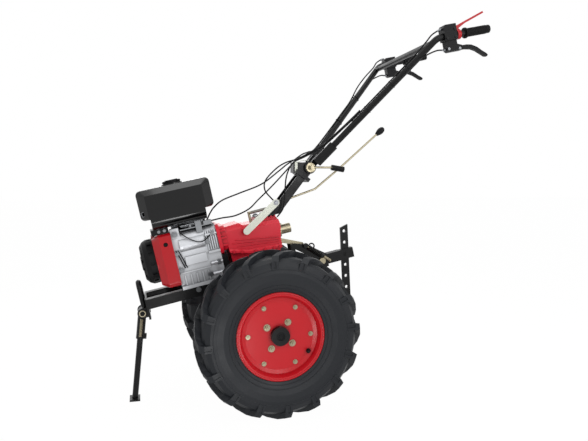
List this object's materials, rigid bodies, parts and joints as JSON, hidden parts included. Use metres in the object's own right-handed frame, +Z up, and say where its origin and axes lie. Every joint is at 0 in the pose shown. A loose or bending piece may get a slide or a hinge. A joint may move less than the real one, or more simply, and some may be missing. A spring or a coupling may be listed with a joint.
{
  "type": "walking tractor",
  "caption": "Two-wheel walking tractor parked on its front stand: open engine, gear case, lugged tyres, hitch with depth bar and a tilting handlebar with controls.",
  "frame": {"origin": "on the floor, at the centre of the machine's outline seen from above", "axes": "+X forward, +Y to the operator's left, +Z up"},
  "size_m": [1.4578, 0.788, 1.5913],
  "materials": {
    "black_paint": "black gloss powder coat",
    "red_paint": "bright red gloss enamel",
    "red_cast": "red enamel over casting",
    "cast_alloy": "die-cast, satin",
    "steel": "plain steel",
    "zinc": "yellow passivated zinc",
    "cream_zinc": "pale zinc plate",
    "tank_black": "high gloss black enamel",
    "black_plastic": "moulded, fine texture",
    "grip_rubber": "ribbed grip rubber",
    "tyre_rubber": "new dark grey rubber",
    "cable_black": "smooth cable sheath"
  },
  "bodies": {
    "chassis": {"frame": "black_paint", "bumper_hoop": "black_paint", "tank_bracket": "black_paint", "column": "black_paint", "column_head": "black_paint", "hitch_bracket": "black_paint", "hitch_beam": "black_paint", "depth_bar": "black_paint", "bar_clamp": "black_paint", "stand_pin": "zinc", "pto_cap": "zinc", "case_tongue": "zinc", "arm_post": "zinc", "shift_rod": "zinc", "hitch_pin": "zinc", "crankcase": "cast_alloy", "crankcase_cover": "cast_alloy", "cylinder_block": "cast_alloy", "fan_shroud": "red_paint", "clutch_housing": "red_cast", "gear_case": "red_cast", "case_cover": "red_cast", "recoil_starter": "black_plastic", "fuel_cap": "black_plastic", "air_cleaner": "black_plastic", "shift_knob": "black_plastic", "fuel_tank": "tank_black", "governor": "steel", "valve_cover": "steel", "muffler": "steel", "clutch_arm": "cream_zinc", "cable_clutch": "cable_black", "cable_throttle": "cable_black", "cable_governor": "cable_black", "cable_gear": "cable_black"},
    "wheel_left": {"tyre_left": "tyre_rubber", "rim_left": "red_paint", "hub_left": "black_paint", "axle_left": "steel"},
    "wheel_right": {"tyre_right": "tyre_rubber", "rim_right": "red_paint", "hub_right": "black_paint", "axle_right": "steel"},
    "stand": {"stand_leg": "black_paint", "stand_spring": "zinc"},
    "handle": {"handle_yoke": "black_paint", "handlebar": "black_paint", "grip_left": "grip_rubber", "grip_right": "grip_rubber", "left_controls": "black_plastic", "right_controls": "black_plastic", "stop_lever": "red_paint", "clamp_bolt": "zinc", "cable_bundle": "cable_black"}
  },
  "joints": [
    {"name": "wheel_left_spin", "type": "hinge", "parent": "chassis", "child": "wheel_left", "pos_m": [0.17343, 0.31, 0.32], "axis": [0, 1, 0], "continuous": true},
    {"name": "wheel_right_spin", "type": "hinge", "parent": "chassis", "child": "wheel_right", "pos_m": [0.17343, -0.31, 0.32], "axis": [0, 1, 0], "continuous": true},
    {"name": "stand_fold", "type": "hinge", "parent": "chassis", "child": "stand", "pos_m": [0.673, 0, 0.36494], "axis": [0, 1, 0], "range_deg": [0, 100]},
    {"name": "handle_tilt", "type": "hinge", "parent": "chassis", "child": "handle", "pos_m": [-0.03417, 0, 0.95908], "axis": [0, -1, 0], "range_deg": [-10, 35], "deforming": ["cable_bundle"]}
  ]
}
